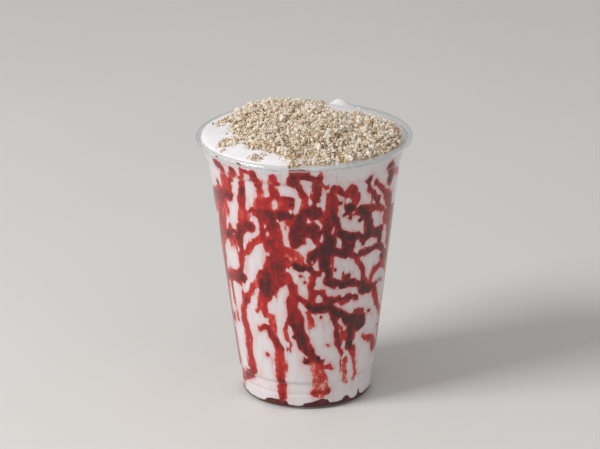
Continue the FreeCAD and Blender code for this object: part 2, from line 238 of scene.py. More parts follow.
# Each run of sauce: its width at the start and at the end, how thick it is there from 0 to 1, and then the
# points that it follows, as (degrees round from the front, height).
RUNS = [
    # high, left
    (3.5, 3.5, 0.8, 0.8, (-60, 117), (-56, 116)),
    (2.5, 2.0, 0.35, 0.35, (-57, 114.5), (-55, 112)),
    (3.0, 2.4, 1.0, 0.6, (-45.5, 116.2), (-45.6, 115.2)),
    (2.4, 1.9, 0.4, 0.5, (-45, 115.5), (-48, 112.5), (-51, 110)),
    (1.8, 2.2, 0.95, 0.9, (-51, 110), (-51.8, 107)),
    (2.4, 2.8, 0.5, 0.5, (-52, 107), (-53, 104)),
    (5.0, 4.0, 0.35, 0.35, (-57, 110), (-57, 106)),
    (5.0, 6.0, 0.75, 0.75, (-53, 103), (-58, 102.5), (-65, 100.5), (-75, 98), (-86, 94)),
    (2.5, 2.5, 0.35, 0.35, (-64, 95.5), (-68, 95), (-75, 92.5), (-94, 85)),
    (2.0, 2.0, 0.35, 0.35, (-62, 104.5), (-68, 103)),
    (1.0, 0.8, 0.3, 0.2, (-57, 99), (-57, 95), (-57.5, 92)),
    (1.8, 1.8, 0.55, 0.55, (-38.5, 117.5), (-39.5, 114), (-41, 110)),
    (2.2, 2.7, 0.9, 0.95, (-41, 110), (-40.7, 105.5)),
    (2.6, 2.9, 0.65, 0.65, (-41, 105), (-42, 103), (-42.3, 99)),
    (3.0, 3.6, 0.4, 0.35, (-42.5, 98), (-43.5, 92)),
    (4.0, 3.5, 0.3, 0.35, (-40, 95.5), (-41, 92)),
    (0.9, 0.9, 0.6, 0.6, (-39, 118), (-33, 118), (-31, 117)),
    (3.0, 2.6, 0.6, 0.6, (-30.5, 117), (-29, 114), (-28.3, 112)),
    (2.0, 2.0, 0.8, 0.8, (-28.2, 111.5), (-28, 108.5)),
    (2.2, 2.6, 0.4, 0.4, (-27.8, 108), (-27, 103)),
    (1.1, 1.1, 0.8, 0.8, (-38, 96.5), (-36.5, 98), (-33, 99), (-30, 98.5), (-27, 97.5)),
    (4.2, 4.0, 0.8, 0.8, (-37, 90), (-42, 90), (-46, 87.5), (-48, 85), (-49, 83)),
    # high, middle
    (2.5, 2.5, 0.4, 0.4, (-18.5, 116.5), (-19, 113), (-18.5, 111)),
    (1.0, 1.0, 0.8, 0.8, (-15.5, 113.8), (-18, 113)),
    (2.6, 3.5, 0.6, 0.8, (-18.6, 111), (-18.8, 108.5), (-18.5, 106)),
    (5.5, 5.5, 0.42, 0.42, (-27.5, 102.5), (-21.5, 102.5)),
    (6.0, 5.0, 0.42, 0.42, (-15, 102.8), (-10, 103)),
    (1.3, 1.3, 0.9, 0.9, (-13, 105.8), (-8, 106)),
    (5.0, 5.0, 0.85, 0.85, (-28, 97.5), (-20, 97.5), (-11, 97.5)),
    (8.4, 8.6, 0.7, 0.66, (-23.5, 96), (-23.5, 90), (-22, 84)),
    (1.9, 1.9, 1.0, 1.0, (-23.6, 92.6), (-24, 90.8)),
    (1.7, 1.7, 1.0, 1.0, (-20, 93), (-20.4, 91)),
    (2.2, 1.6, 0.35, 0.35, (-17, 89), (-16.8, 85.5)),
    (0.9, 0.9, 0.5, 0.5, (-10.5, 96), (-10.8, 94), (-12, 91.5)),
    (0.9, 0.9, 0.9, 0.9, (-8, 119.5), (-3, 119.7), (1.5, 119.5)),
    (4.6, 4.6, 0.8, 0.8, (-6.6, 116.6), (-6.4, 114.6)),
    (1.6, 1.4, 0.8, 1.0, (-4, 118), (0, 117.5), (3, 116.5), (5, 116), (8, 117)),
    (2.4, 1.9, 0.7, 0.75, (-6, 115), (-4, 113), (-3, 111), (-2.5, 109.5), (-1, 107.5)),
    (0.9, 0.8, 0.6, 0.6, (-0.8, 107.5), (0.2, 105.5), (0, 101)),
    (2.6, 3.2, 0.7, 0.7, (8, 116.5), (7.5, 113), (7, 108), (6, 105.5), (5, 101.5)),
    (1.6, 1.6, 1.0, 1.0, (7.3, 109), (6.8, 107)),
    (6.0, 5.6, 0.9, 0.9, (1.5, 99), (7, 99.3)),
    (4.0, 4.0, 0.85, 0.85, (-1, 98.5), (-3, 97), (-4, 95), (-6, 91), (-7, 88), (-6.5, 84.5)),
    (9.0, 8.0, 0.85, 0.85, (1, 91), (-2, 88.5)),
    (3.0, 2.0, 0.85, 0.8, (5.5, 90), (6.4, 86), (6.2, 84.6)),
    (1.6, 1.6, 1.0, 1.0, (1.2, 92), (2.6, 91.2)),
    (0.9, 0.9, 0.8, 0.8, (8.5, 98.8), (12.5, 97.4)),
    (1.6, 1.4, 0.5, 0.5, (9.5, 98), (11.5, 95.5), (13.5, 93.5)),
    (3.6, 4.6, 0.55, 0.7, (16, 110), (16.5, 105), (16.5, 100)),
    (4.6, 6.0, 0.7, 1.0, (16.5, 100), (16, 95), (14.5, 92), (14, 88), (15, 84)),
    (1.3, 1.1, 0.9, 0.9, (14.5, 110.6), (18, 110.5), (21, 109), (24, 107), (26.5, 105.8)),
    (2.6, 2.6, 0.9, 1.0, (17.5, 97), (19, 95), (20, 91), (22, 88), (26, 86.5), (30, 84.5)),
    # high, right
    (4.2, 3.6, 0.55, 0.55, (29, 108), (31, 105.5), (33, 102)),
    (4.0, 3.6, 1.0, 1.0, (28, 99.5), (32, 99), (38, 97), (42, 94)),
    (3.4, 2.4, 1.0, 1.0, (42, 94), (43, 91), (44, 88), (45, 85)),
    (2.0, 2.0, 0.8, 0.8, (44.5, 91), (46, 90), (48, 87), (50, 84.5)),
    (2.0, 2.0, 0.7, 0.7, (42, 97), (50, 96.5), (55, 95), (58, 94), (61, 92.5), (66, 91)),
    (2.4, 2.2, 1.0, 1.0, (41.5, 111.6), (41.7, 110.6)),
    (1.0, 1.6, 0.9, 0.9, (42, 110), (42.5, 107), (46, 104), (48, 101)),
    (1.6, 2.6, 0.9, 0.9, (48, 101), (51.5, 100), (51, 98), (52, 96)),
    (1.5, 0.9, 0.85, 0.85, (47, 109), (51, 106.5), (54, 105), (57, 102.5), (60, 101), (66, 98)),
    (3.0, 4.6, 1.0, 1.0, (58, 115), (62, 113), (64, 110), (63, 107.8)),
    (3.0, 2.0, 0.45, 0.4, (66, 109.5), (70, 109.5), (80, 107), (87, 103)),
    (6.0, 8.0, 0.55, 0.55, (64, 88.5), (74, 88.5), (84, 87)),
    (2.6, 2.6, 0.9, 0.9, (66, 94.8), (66.3, 93.8)),
    # middle, left
    (4.6, 4.0, 0.8, 0.8, (-48.5, 84), (-48, 80.5)),
    (4.4, 3.4, 0.85, 0.85, (-49, 84), (-56, 84), (-60, 82.5), (-64, 81.2)),
    (2.0, 2.0, 0.35, 0.35, (-50, 80.6), (-54, 79.4), (-58, 79)),
    (2.5, 2.5, 0.35, 0.35, (-66, 79.5), (-69, 77.5), (-73, 75), (-78, 72), (-92, 64), (-95, 52)),
    (7.0, 8.0, 0.6, 0.6, (-77, 69), (-86, 72)),
    (2.4, 2.2, 0.6, 0.65, (-47.5, 80), (-46.5, 76), (-48, 72), (-49, 70), (-51, 67), (-52, 64)),
    (2.4, 2.0, 1.0, 1.0, (-52, 66.4), (-52.2, 65)),
    (1.6, 1.6, 0.45, 0.45, (-46, 76), (-43, 76.5), (-41, 78), (-38, 80.5), (-36, 82.5), (-32, 84.5)),
    (1.6, 2.0, 0.45, 0.5, (-32, 84.5), (-29, 85.5), (-26, 85)),
    (5.6, 5.0, 0.8, 0.8, (-56, 62.5), (-49.5, 63)),
    (3.6, 3.6, 0.65, 0.65, (-58, 62), (-66, 61.5), (-72, 59.5), (-78, 58), (-91, 57), (-100, 62)),
    (6.0, 7.0, 0.35, 0.35, (-78, 54.5), (-85, 50)),
    (1.3, 1.2, 0.7, 0.7, (-24, 82), (-25, 80), (-25, 74), (-27, 71), (-30, 68)),
    (6.6, 5.4, 0.7, 0.85, (-23, 70), (-26, 66), (-28, 61)),
    (5.6, 4.6, 0.85, 0.85, (-31, 66), (-30.5, 60), (-29, 57)),
    (1.8, 1.8, 0.4, 0.4, (-32, 67), (-35, 65.5), (-37.5, 61), (-40, 60), (-42, 57.5), (-46, 55), (-48, 53)),
    (2.6, 2.4, 1.0, 1.0, (-48.6, 52.4), (-49.4, 51.6)),
    (0.9, 0.8, 0.4, 0.4, (-35, 55), (-35, 53), (-37, 50), (-39, 47.5)),
    (3.0, 1.5, 0.5, 0.5, (-32.5, 57), (-33, 54), (-32, 49), (-31, 46)),
    (2.4, 3.6, 0.45, 0.5, (-50, 51), (-52, 48), (-53, 45.5), (-54.5, 42), (-53, 38), (-51.5, 33)),
    (3.6, 4.0, 0.5, 0.4, (-51.5, 33), (-53, 28), (-53, 24), (-51, 20), (-51, 16)),
    (2.4, 2.6, 0.85, 0.8, (-50.5, 16.4), (-55, 13.5), (-60, 12), (-66, 10.5)),
    (2.0, 2.2, 0.5, 0.5, (-66, 10.5), (-72, 8.5), (-80, 7.4)),
    (4.0, 5.0, 0.7, 0.7, (-75, 39), (-88, 40), (-97, 36)),
    (2.4, 3.0, 0.5, 0.5, (-77, 32), (-84, 29)),
    (1.4, 2.0, 0.2, 0.3, (-82, 26), (-89, 26)),
    # middle
    (8.0, 6.6, 0.66, 0.72, (-21, 85), (-19.5, 76), (-20, 69.5)),
    (3.0, 2.6, 0.35, 0.4, (-18, 83), (-13, 80.5), (-7, 79), (-4, 76.5), (-3.5, 74)),
    (4.0, 1.6, 1.0, 1.0, (-6, 73), (-1, 72.5), (3.5, 71.8)),
    (1.1, 1.0, 1.0, 1.0, (3, 72), (4.5, 70)),
    (3.0, 2.4, 0.7, 0.85, (-19, 67), (-18, 64.5), (-21, 62), (-24, 59)),
    (2.2, 3.0, 0.6, 0.6, (-15, 69), (-13, 67), (-9.5, 62), (-8, 57)),
    (3.0, 5.0, 0.55, 0.7, (-8, 57), (-9, 50), (-8, 46)),
    (6.6, 4.0, 0.8, 1.0, (-8, 46), (-6.5, 43), (-4, 38)),
    (4.0, 4.8, 1.0, 0.9, (-4, 38), (-2, 33)),
    (4.8, 2.4, 0.9, 0.8, (-2, 33), (2, 30), (4, 27)),
    (1.0, 0.9, 0.95, 0.95, (-12, 57), (-12.2, 50), (-11.6, 47)),
    (2.0, 1.4, 0.9, 0.8, (-11, 45), (-13, 44), (-16, 41)),
    (0.9, 0.8, 0.45, 0.45, (-16, 41), (-15, 36), (-13.5, 33.5), (-14, 31)),
    (2.8, 2.8, 1.0, 1.0, (0, 25.6), (8, 25.4), (10.4, 24.8)),
    (1.3, 1.0, 0.8, 0.8, (10.6, 24.4), (11.5, 23), (12.6, 21.2)),
    (0.9, 0.9, 0.6, 0.6, (15.5, 21.8), (19, 22.3), (21.4, 20.8)),
    (4.0, 6.0, 0.16, 0.08, (6, 24), (9, 19), (11, 13), (12, 9.5)),
    (2.2, 2.0, 0.6, 0.6, (7.6, 21), (8.4, 18.6)),
    (1.8, 1.6, 0.6, 0.6, (11.6, 17.4), (12.6, 15)),
    (2.2, 2.2, 0.85, 0.85, (7, 8.3), (12, 8.0), (18, 8.4)),
    (2.0, 2.0, 0.8, 0.8, (-6, 57.4), (-1, 55), (3, 54)),
    (1.9, 1.7, 0.7, 0.7, (5, 69.5), (4, 67), (4, 64), (3.5, 61), (5, 58), (4, 54)),
    (1.0, 1.0, 1.0, 1.0, (4.6, 69.6), (9, 69), (11, 68), (14.5, 67.2)),
    (1.1, 1.0, 0.7, 0.7, (5, 60), (8, 59.3), (11.5, 59.6)),
    (3.6, 3.4, 1.0, 1.0, (3, 53), (6, 52), (10, 51.5), (14, 52), (16, 52)),
    (3.4, 4.0, 1.0, 1.0, (16, 52), (20, 50), (24, 47.5), (28, 46), (33, 44)),
    (1.3, 1.2, 0.9, 0.9, (9.5, 59), (11, 58), (14, 56), (17, 55)),
    (1.8, 1.8, 0.9, 0.9, (14, 55.3), (20, 55.5), (24, 56), (30, 55), (34, 55), (37.5, 53.8)),
    (2.0, 1.6, 0.4, 0.4, (25.5, 53.6), (30.5, 53.3)),
    (6.0, 5.4, 1.0, 1.0, (15, 85), (13, 82), (12.6, 78.5)),
    (4.0, 3.0, 0.95, 0.9, (12, 81), (8, 80), (5, 79), (4, 76)),
    (5.0, 3.0, 1.0, 1.0, (13, 79), (13, 74), (14, 70), (14.2, 67)),
    (4.0, 3.6, 1.0, 1.0, (28, 84.5), (27.5, 79)),
    (3.0, 2.8, 1.0, 1.0, (14.5, 80), (20, 79), (24, 77.5), (27.5, 76.4)),
    (3.2, 3.6, 1.0, 1.0, (14.5, 64.6), (22, 63), (30, 62.5)),
    (3.2, 2.0, 1.0, 1.0, (30, 62.5), (35, 62), (40, 61), (45, 60.2)),
    (1.2, 1.4, 1.0, 1.0, (14.4, 67), (16, 64.4)),
    (2.8, 2.6, 1.0, 1.0, (29, 66), (29, 63.5)),
    (1.1, 0.9, 0.5, 0.5, (1, 50), (3, 47), (5, 43)),
    # middle, right
    (3.6, 3.4, 1.0, 1.0, (27, 84.5), (36, 84.6), (46, 84), (58, 83.5)),
    (3.0, 2.6, 0.9, 0.9, (57, 84), (57.5, 80), (57, 76.4)),
    (1.4, 1.6, 0.9, 0.9, (33, 83), (31.5, 80), (30, 77.5)),
    (1.9, 1.7, 1.0, 1.0, (25, 77), (30, 77.5), (35, 75.5), (45, 76), (55, 76.5), (60, 75)),
    (1.7, 1.9, 0.9, 0.9, (60, 75), (65, 73), (70, 70), (75, 67.5)),
    (1.5, 1.3, 0.8, 0.8, (34, 76), (38.5, 71), (40, 69.5), (42, 67), (43, 64), (44, 60)),
    (5.0, 4.6, 1.0, 1.0, (44.5, 57.6), (51, 56.6)),
    (6.0, 6.0, 0.55, 0.6, (79, 82), (76, 76), (80, 70)),
    (9.0, 9.0, 0.5, 0.5, (80, 80), (92, 82)),
    (1.5, 1.3, 0.7, 0.7, (50, 59), (53, 63), (58, 65), (63, 66), (70, 64.5), (76, 61), (82, 57.5)),
    (1.5, 1.7, 0.9, 0.9, (62, 70), (72, 67), (86, 63), (96, 66)),
    (2.2, 2.0, 0.65, 0.65, (51, 58), (55, 56.5), (57.5, 55), (59, 52.5), (61, 50.5), (63, 48)),
    (1.9, 2.1, 0.65, 0.6, (63, 48), (67, 44.5), (71, 42.5), (78, 39), (86, 30), (88, 20)),
    (1.2, 1.1, 0.8, 0.8, (39, 47), (42, 46.6), (46, 46)),
    # low, right
    (7.6, 8.4, 1.0, 1.0, (33.5, 42.6), (43, 41.4)),
    (3.4, 2.4, 1.0, 1.0, (35.5, 39), (35, 32), (36, 30.5), (38.8, 28.4)),
    (1.8, 1.0, 0.6, 0.4, (38.8, 28), (40.5, 24), (42, 21), (42.5, 18)),
    (0.9, 0.7, 0.25, 0.2, (44.6, 16), (45, 14), (44, 11.6)),
    (1.2, 1.8, 0.95, 0.95, (20.6, 49), (21, 45.5), (22.5, 42), (23.5, 38), (25, 33.5), (27, 30)),
    (1.1, 0.9, 0.6, 0.5, (27, 30), (29, 27), (31, 24), (32.8, 22.4)),
    (0.9, 0.7, 0.25, 0.2, (32, 21), (33, 14), (35, 12)),
    (1.3, 1.0, 0.8, 0.7, (28.5, 45), (28.6, 42), (29, 37), (30, 34.6)),
    (1.4, 4.0, 0.5, 0.55, (50, 33), (52, 32), (58, 30), (65, 27.5), (69, 24)),
    # down both sides
    (4.0, 7.0, 0.6, 0.65, (-64, 98), (-68, 90), (-72, 82), (-75, 74), (-77, 66)),
    (6.4, 6.0, 0.65, 0.7, (-77, 66), (-79, 56), (-80, 46), (-81, 36)),
    (6.0, 4.4, 0.7, 0.6, (-81, 36), (-80, 24), (-77, 13), (-74, 8)),
    (2.2, 1.8, 0.4, 0.4, (-61, 98), (-62, 92), (-64, 86), (-66, 82)),
    (1.6, 1.4, 0.4, 0.4, (-56, 80), (-59, 74), (-62, 68), (-63, 63)),
    (1.4, 1.2, 0.4, 0.4, (-66, 62), (-67, 54), (-66, 46), (-64, 40)),
    (4.0, 7.0, 0.6, 0.65, (60, 101), (65, 97), (68, 91), (71, 84), (74, 77)),
    (3.4, 2.4, 0.6, 0.5, (76, 72), (79, 62), (80, 52), (80, 42)),
    (2.0, 3.0, 0.5, 0.5, (80, 42), (79, 32), (77, 24)),
    # low, left and middle
    (1.1, 0.9, 0.4, 0.4, (-27.4, 47), (-27, 41)),
    (1.0, 0.9, 0.4, 0.4, (-25, 47), (-26, 41)),
    (1.5, 1.7, 0.85, 0.85, (-36, 39.5), (-33, 41), (-30, 40), (-28, 38.5), (-27, 36)),
    (2.4, 2.6, 0.8, 0.8, (-26.5, 36.4), (-24, 33.5), (-23, 32), (-21, 30)),
    (2.8, 3.6, 0.45, 0.4, (-21.4, 30), (-22, 25), (-22, 17)),
    (2.8, 2.8, 0.8, 0.8, (-21.5, 16.6), (-22.5, 10.6)),
    (2.4, 2.4, 0.45, 0.5, (-22.6, 10.4), (-23, 7)),
    (2.0, 2.0, 0.8, 0.8, (-22.2, 7), (-23, 3.6)),
]

# Single spots of sauce: degrees round, height, width and thickness.
SPOTS = [
    (-66.5, 106.6, 1.6, 0.6),
    (-57, 120.3, 1.1, 0.5),
    (-38.5, 120.6, 1.1, 0.5),
    (-8.5, 103.5, 2.2, 0.9),
    (21.5, 103, 1.2, 0.8),
    (29, 100.8, 1.4, 0.8),
    (25, 97, 1.1, 0.7),
    (28.5, 95.5, 1.0, 0.7),
    (9.5, 89, 1.6, 0.8),
    (37, 93, 1.2, 0.8),
    (43.5, 87.5, 1.2, 0.8),
    (-13.5, 76.5, 1.2, 0.8),
    (-25, 68.5, 1.2, 0.8),
    (20, 70.5, 1.0, 0.5),
    (10, 47, 0.9, 0.4),
    (-3, 68, 0.9, 0.4),
    (-1, 65, 0.9, 0.4),
    (2, 63, 1.0, 0.4),
    (16, 32.5, 0.9, 0.4),
    (-9, 37.5, 1.4, 0.8),
    (41, 80.5, 1.6, 0.9),
    (68, 57, 1.4, 0.8),
    (60, 57.5, 1.4, 0.8),
    (71, 34, 1.6, 0.6),
    (54.5, 44.5, 1.2, 0.7),
    (-33.5, 26.5, 1.4, 0.3),
]

# Places that the sauce runs round: degrees round, height, width and height of the bare place.
BARE = [
    (-19, 103, 2.6, 4.4),
    (-26, 91.5, 1.6, 2.2),
    (-25, 88, 1.4, 2.0),
    (2, 95.2, 1.8, 1.4),
    (2, 85.4, 3.0, 4.4),
    (-53, 83.2, 1.4, 1.4),
    (30, 40, 2.4, 2.6),
    (36, 82, 1.6, 1.6),
    (48, 81, 2.4, 1.8),
    (-59.5, 70.5, 11.0, 12.0),
    (31, 97.2, 1.6, 1.0),
]


def fall_behind(turn, level):
    """Where a point at the front comes on the back: turned half round, and drawn out of shape."""
    behind = 180 + 0.95 * turn + 6 * math.sin(level / 15)
    return behind, level + 5 * math.sin(math.radians(2.6 * turn + 40))


SPREAD = 0.7  # how far each run has crept out on both sides
runs = [(w, w2, t, t2, tuple(path)) for w, w2, t, t2, *path in RUNS]
for turn, level, w, t in SPOTS:
    runs.append((w - SPREAD, w - SPREAD, 2 * t, 2 * t, ((turn, level), (turn + 0.3, level))))
runs += [(w, w2, t, t2, tuple(fall_behind(*p) for p in path)) for w, w2, t, t2, path in runs]
bare = BARE + [(*fall_behind(turn, level), w, h) for turn, level, w, h in BARE]


def surface_of(*names):
    """Search trees of frame nodes."""
    trees = []
    for name in names:
        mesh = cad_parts[name].data
        trees.append(BVHTree.FromPolygons([v.co for v in mesh.vertices], [p.vertices for p in mesh.polygons]))
    return trees


filling = surface_of("milkshake", "sauce_puddle")


def inside_radius(level):
    """Inside radius of the cup at this height, where the frame's filling touches the wall."""
    found = 0.0
    for step in range(30):
        way = Vector((math.cos(step * 0.21), math.sin(step * 0.21), 0))
        for shape in filling:
            hit = shape.ray_cast(way * 27.2 * MM + Vector((0, 0, level * MM)), way)[0]
            if hit:
                found = max(found, math.hypot(hit.x, hit.y) / MM)
    return found


wall_levels = np.arange(0.9, 122.2, 0.35)
wall_radii = np.array([inside_radius(level) for level in wall_levels])


def wall_point(turn, level, reach):
    """The point at this angle and height, reach further out than the inside of the wall. All are arrays."""
    radius = np.interp(level, wall_levels, wall_radii) + reach
    turn = np.radians(turn)
    return np.stack([radius * np.sin(turn), -radius * np.cos(turn), level + 0 * turn], -1) * MM


# noise_vector takes its offsets from the clock unless they are seeded, and then no two runs are alike.
NOISE_SEED = 1795197031
noise.seed_set(NOISE_SEED)


def ruffle(points, size, seed):
    """Smooth random shifts of -1 to 1 in three directions, for points in metres."""
    return np.array([noise.noise_vector(Vector(p) / (size * MM) + Vector((seed, 0, 0))) for p in points])


def flow(turns, levels):
    """How far each place on the wall is inside the sauce, less than 0 outside it, and how thick."""
    turn, level = np.meshgrid(turns, levels)
    spots = wall_point(turn, level, 0).reshape(-1, 3)
    shift = (0.9 * ruffle(spots, 5, 3) + 0.6 * ruffle(spots, 1.8, 9)).reshape(*turn.shape, 3)
    arc = np.interp(level, wall_levels, wall_radii) * math.pi / 180
    turn = turn + shift[..., 0] / arc
    level = level + shift[..., 1]
    depth = np.full(turn.shape, -9.0)
    total = np.full(turn.shape, 1e-6)
    tone = np.zeros(turn.shape)
    for width, end_width, thick, end_thick, path in runs:
        for k, ((turn_a, level_a), (turn_b, level_b)) in enumerate(zip(path, path[1:])):
            near = max(width, end_width) / 2 + 5
            spread = abs(turn_b - turn_a) / 2 + near * 2
            off = (turns - (turn_a + turn_b) / 2 + 180) % 360 - 180
            columns = np.nonzero(np.abs(off) < spread)[0]
            bottom, top = min(level_a, level_b) - near, max(level_a, level_b) + near
            rows = np.nonzero((levels > bottom) & (levels < top))[0]
            part = np.ix_(rows, columns)
            across = ((turn[part] - turn_a + 180) % 360 - 180) * arc[part]
            up = level[part] - level_a
            way = (turn_b - turn_a) * arc[part]
            rise = level_b - level_a
            along = np.clip((across * way + up * rise) / (way**2 + rise**2 + 1e-9), 0, 1)
            share = (k + along) / (len(path) - 1)
            half = (width + (end_width - width) * share) / 2 + SPREAD
            inside = half - np.hypot(across - along * way, up - along * rise)
            mix = np.clip(0.5 + inside - depth[part], 0, 1)
            depth[part] = depth[part] * (1 - mix) + inside * mix + 0.5 * mix * (1 - mix)
            weight = np.exp(np.clip(inside, -4, 1.2) * 2.4)
            total[part] += weight
            tone[part] += weight * (thick + (end_thick - thick) * share)
    drips = ruffle(spots * (1, 1, 0.16), 1.9, 27)[:, 0].reshape(turn.shape) * 2.4 - 0.8
    drips += 0.4 * np.minimum(depth, 0)
    tone = np.where(drips > depth, tone * 0.6, tone)
    depth = np.maximum(depth, drips)
    gaps = ruffle(spots * (1, 1, 0.5), 2.6, 33)[:, 1].reshape(turn.shape)
    depth = depth - 1.6 * np.clip((gaps - 0.4) / 0.25, 0, 1)
    for turn_a, level_a, wide, high in bare:
        across = ((turn - turn_a + 180) % 360 - 180) * arc
        gap = np.hypot(across / (wide / 2), (level - level_a) / (high / 2)) - 1
        depth = np.minimum(depth, gap * min(wide, high) / 2)
    return depth, tone / total


def cut_out(field, wraps=False):
    """The part of a grid where field is over 0: its places in steps across and up, faces, and open edges."""
    rows, columns = field.shape
    over = np.pad(field, ((0, 0), (0, 1)), mode="wrap") > 0 if wraps else field > 0
    cells = over[:-1, :-1] | over[1:, :-1] | over[:-1, 1:] | over[1:, 1:]
    places, faces, edges, known = [], [], [], {}

    def place(a, b):
        key = tuple(sorted(((a[0], a[1] % columns), (b[0], b[1] % columns))))
        if key not in known:
            known[key] = len(places)
            high, low = field[a[0], a[1] % columns], field[b[0], b[1] % columns]
            t = 0 if a == b else min(max(high / (high - low), 0.08), 0.92)
            places.append((a[1] + (b[1] - a[1]) * t, a[0] + (b[0] - a[0]) * t))
        return known[key]

    for row, column in np.argwhere(cells).tolist():
        ring = [(row, column), (row, column + 1), (row + 1, column + 1), (row + 1, column)]
        isin = [bool(over[r, c]) for r, c in ring]
        loop, leaving = [], None
        first_entry = None
        for k in range(4):
            a, b = ring[k], ring[(k + 1) % 4]
            if isin[k]:
                loop.append(place(a, a))
            if isin[k] != isin[(k + 1) % 4]:
                mark = place(a, b)
                loop.append(mark)
                if isin[k]:
                    leaving = mark
                elif leaving is None:
                    first_entry = mark
                else:
                    edges.append((leaving, mark))
                    leaving = None
        if leaving is not None:
            edges.append((leaving, first_entry))
        faces.append(loop)
    return np.array(places), faces, edges


def at(grid, places):
    """Values of a grid at places between its points."""
    columns = grid.shape[1]
    left, low = np.floor(places[:, 0]).astype(int), np.floor(places[:, 1]).astype(int)
    s, t = places[:, 0] - left, places[:, 1] - low
    high = np.minimum(low + 1, grid.shape[0] - 1)
    under = grid[low, left % columns] * (1 - s) + grid[low, (left + 1) % columns] * s
    above = grid[high, left % columns] * (1 - s) + grid[high, (left + 1) % columns] * s
    return under * (1 - t) + above * t


def skin_between(outer, inner, faces, edges):
    """Points and faces of a closed skin with these two sides."""
    count = len(outer)
    closed = faces + [[count + k for k in reversed(face)] for face in faces]
    closed += [[a, b, count + b, count + a] for a, b in edges]
    return np.concatenate([outer, inner]), closed


# Sauce: thin, it is a clear coral red; thicker, it is a deep red; and where it has gathered, nearly black.
# It is wetted to the plastic, so the gloss is the cup's, and it has hardly any of its own.
sauce, tree = new_finish("strawberry sauce")
where = add(tree, "ShaderNodeTexCoord").outputs["Object"]
thick = add(tree, "ShaderNodeAttribute", attribute_name="thickness").outputs["Fac"]
clots = add(tree, "ShaderNodeTexNoise", {"Vector": where, "Scale": 700, "Detail": 3, "Roughness": 0.6})
uneven = add(
    tree,
    "ShaderNodeMapRange",
    {"Value": clots.outputs["Fac"], "From Min": 0.25, "From Max": 0.75, "To Min": -0.24, "To Max": 0.24},
)
level = add(tree, "ShaderNodeMath", {0: thick, 1: uneven.outputs["Result"]}, operation="ADD", use_clamp=True)
tint = add(
    tree,
    "ShaderNodeValToRGB",
    {"Fac": level.outputs[0]},
    stops=[
        (0.0, "e2a096"),
        (0.14, "d0463c"),
        (0.36, "be1613"),
        (0.6, "9a0408"),
        (0.82, "6e0006"),
        (1.0, "400004"),
    ],
)
grain = add(tree, "ShaderNodeBump", {"Height": clots.outputs["Fac"], "Strength": 0.2, "Distance": 0.2 * MM})
body = add(
    tree,
    "ShaderNodeBsdfPrincipled",
    {
        "Base Color": tint.outputs["Color"],
        "Roughness": 0.3,
        "IOR": 1.42,
        "Specular IOR Level": 0.1,
        "Normal": grain.outputs["Normal"],
    },
)
add(tree, "ShaderNodeOutputMaterial", {"Surface": body.outputs["BSDF"]})

FILM_COLUMNS = 420
FILM_STEP = 0.7
FILM_SIDE = 0.2  # from the inside of the wall out to one side of the film, and in to the other
film_turns = np.arange(FILM_COLUMNS) * 360 / FILM_COLUMNS - 180
film_levels = np.arange(3.0, 121.4, FILM_STEP)
film_depth, film_tone = flow(film_turns, film_levels)
places, faces, edges = cut_out(film_depth, wraps=True)
turn = places[:, 0] * 360 / FILM_COLUMNS - 180
level = film_levels[0] + places[:, 1] * FILM_STEP
depth = np.clip(at(film_depth, places), 0, 3)
thickness = at(film_tone, places) * (0.42 + 0.58 * np.clip(depth / 1.5, 0, 1))
thickness += 0.24 * ruffle(wall_point(turn, level, 0) * (1, 1, 0.5), 2.2, 17)[:, 0]
points, faces = skin_between(
    wall_point(turn, level, FILM_SIDE + 0.1 * np.clip(depth, 0, 1)),
    wall_point(turn, level, -FILM_SIDE),
    faces,
    edges,
)
streaks = new_piece("sauce_streaks", points, faces, sauce, {"thickness": np.tile(thickness, 2)})
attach(streaks, "root")

# ---------------------------------------------------------------- the sauce at the bottom
# What has run down and gathered in the ring round the raised base. It is dark because it is thick, and its
# edge on the wall goes up and down in scallops, where the shake has pressed into it.

# The edge on the wall: degrees round and height.
POOL_EDGE = [
    (-174, 2.2),
    (-163, 4.4),
    (-154, 2.0),
    (-140, 4.0),
    (-131, 1.9),
    (-118, 2.4),
    (-108, 4.5),
    (-100, 2.1),
    (-92, 4.0),
    (-76, 4.4),
    (-70, 2.3),
    (-60, 1.9),
    (-50, 1.8),
    (-42, 2.1),
    (-37, 3.8),
    (-25, 4.2),
    (-19, 3.9),
    (-16, 1.9),
    (-10, 1.6),
    (-5, 1.8),
    (-2, 3.2),
    (2, 3.5),
    (8, 4.3),
    (14, 5.0),
    (18, 4.5),
    (20.5, 2.7),
    (26, 2.4),
    (32, 2.8),
    (34, 4.0),
    (36.5, 4.6),
    (39, 4.0),
    (41, 2.3),
    (46, 2.1),
    (49.5, 2.8),
    (51.5, 6.0),
    (53.5, 2.8),
    (57, 2.3),
    (64, 2.7),
    (75, 2.5),
    (90, 3.2),
    (104, 2.0),
    (118, 4.6),
    (127, 2.1),
    (141, 3.8),
    (152, 2.0),
    (166, 4.8),
    (174, 2.3),
]
# Under side, from the middle out, reaching just into the plastic.
POOL_UNDER = [
    (12, 2.8),
    (24.3, 2.8),
    (24.8, 2.5),
    (25.8, 0.75),
    (26.2, 0.45),
    (27.1, 0.4),
    (27.9, 0.55),
    (28.4, 0.85),
]
POOL_LEVEL = 4.5
POOL_REACH = 0.24
POOL_COLUMNS = 360
turns = np.arange(POOL_COLUMNS) * 360 / POOL_COLUMNS - 180
marks, tops = np.array(POOL_EDGE).T
after = np.searchsorted(marks, turns) % len(marks)
share = (turns - marks[after - 1]) % 360 / ((marks[after] - marks[after - 1]) % 360)
edge = tops[after - 1] + (tops[after] - tops[after - 1]) * share * share * (3 - 2 * share)
spots = wall_point(turns, edge, 0)
edge = np.maximum(edge + 0.35 * ruffle(spots, 2.5, 5)[:, 0], 1.5)


